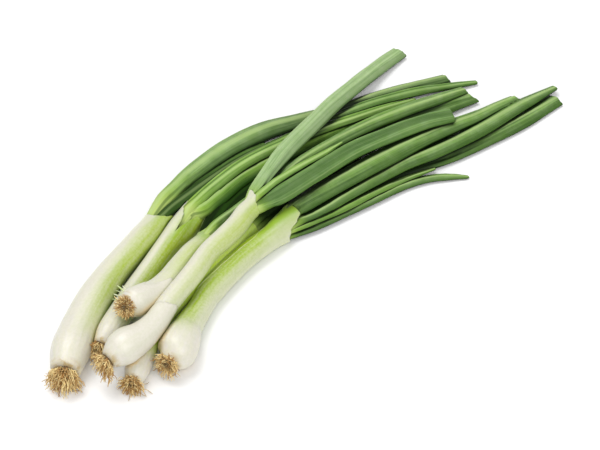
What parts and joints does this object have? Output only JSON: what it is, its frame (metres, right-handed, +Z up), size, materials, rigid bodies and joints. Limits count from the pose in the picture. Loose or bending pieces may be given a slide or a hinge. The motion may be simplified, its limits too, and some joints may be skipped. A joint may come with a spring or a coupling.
{
  "type": "spring onion bunch",
  "caption": "Loose bunch of spring onions lying in a curved pile, with white bulbs, dry root tufts and long flattened green leaves with cut ends.",
  "frame": {"origin": "on the surface that the bunch lies on, under the middle of its bounding box", "axes": "+X along the bunch from the roots to the leaf tips, +Z up, +Y to the left when looking from the roots to the tips"},
  "size_m": [0.3807, 0.1221, 0.0322],
  "materials": {
    "shank": "moist waxy white skin, turning pale yellow green towards the leaves",
    "leaf": "mid green with fine lengthwise veins and a pale waxy bloom",
    "roots": "dry tan fibres, dark brown at the root plate"
  },
  "bodies": {
    "root": {"onion_a_shank": "shank", "onion_a_roots": "roots", "onion_a_leaf_1": "leaf", "onion_a_leaf_2": "leaf", "onion_a_leaf_3": "leaf", "onion_b_shank": "shank", "onion_b_roots": "roots", "onion_b_leaf_1": "leaf", "onion_b_leaf_2": "leaf", "onion_c_shank": "shank", "onion_c_roots": "roots", "onion_c_leaf_1": "leaf", "onion_c_leaf_2": "leaf", "onion_d_shank": "shank", "onion_d_roots": "roots", "onion_d_leaf_1": "leaf", "onion_d_leaf_2": "leaf", "onion_d_leaf_3": "leaf", "onion_d_leaf_4": "leaf", "onion_e_shank": "shank", "onion_e_roots": "roots", "onion_e_leaf_1": "leaf", "onion_e_leaf_2": "leaf", "onion_f_shank": "shank", "onion_f_roots": "roots", "onion_f_leaf_1": "leaf", "onion_f_leaf_2": "leaf", "onion_f_leaf_3": "leaf", "onion_f_leaf_4": "leaf", "onion_f_leaf_5": "leaf"}
  },
  "joints": []
}
